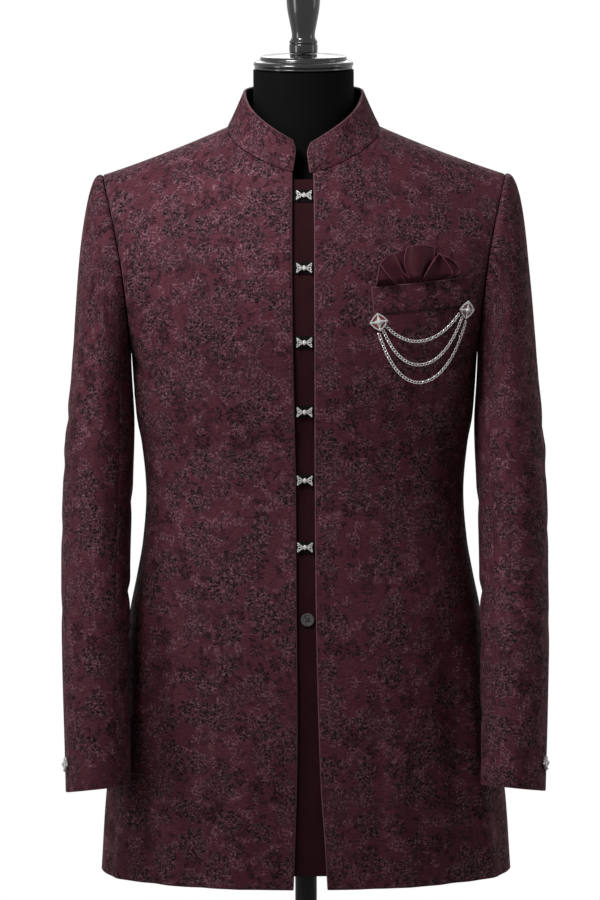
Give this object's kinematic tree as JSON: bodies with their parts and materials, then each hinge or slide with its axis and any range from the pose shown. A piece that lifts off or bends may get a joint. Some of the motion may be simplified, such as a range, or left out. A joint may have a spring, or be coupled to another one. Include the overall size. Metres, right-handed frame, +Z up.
{
  "type": "sherwani coat on dress form",
  "caption": "Open-fronted brocade sherwani coat with stand collar, bow clasps, breast welt and chain brooch, worn by a limbless dress form on a pole stand.",
  "frame": {"origin": "middle of the underside of the stand's round base", "axes": "+Z up; the coat's front faces -Y; the wearer's left is +X"},
  "size_m": [0.5436, 0.4, 1.6048],
  "materials": {
    "jacquard": "maroon satin-ground jacquard with darker floral figures",
    "plain_cloth": "plain matte maroon cloth",
    "satin": "deep maroon satin",
    "ribbon": "black ribbon",
    "silver": "polished silver with crystals",
    "button": "grey horn-like plastic",
    "form_jersey": "black jersey over a rigid form",
    "form_gloss": "gloss black paint"
  },
  "bodies": {
    "root": {"front_right": "jacquard", "front_left": "jacquard", "back_right": "jacquard", "back_left": "jacquard", "collar": "jacquard", "sleeve_top_right": "jacquard", "sleeve_top_left": "jacquard", "sleeve_under_right": "jacquard", "sleeve_under_left": "jacquard", "pocket_welt": "jacquard", "inner_panel": "plain_cloth", "pocket_square": "satin", "inner_button": "button", "brooch_1": "silver", "brooch_2": "silver", "chain_1": "silver", "chain_2": "silver", "chain_3": "silver", "cuff_stud_right": "silver", "cuff_stud_left": "silver", "form_body": "form_jersey", "form_cap": "form_gloss", "form_finial": "form_gloss", "form_pole": "form_gloss", "form_hub": "form_gloss", "form_base": "form_gloss", "clasp_1": "silver", "clasp_tab_1": "ribbon", "clasp_2": "silver", "clasp_tab_2": "ribbon", "clasp_3": "silver", "clasp_tab_3": "ribbon", "clasp_4": "silver", "clasp_tab_4": "ribbon", "clasp_5": "silver", "clasp_tab_5": "ribbon", "clasp_6": "silver", "clasp_tab_6": "ribbon"}
  },
  "joints": []
}
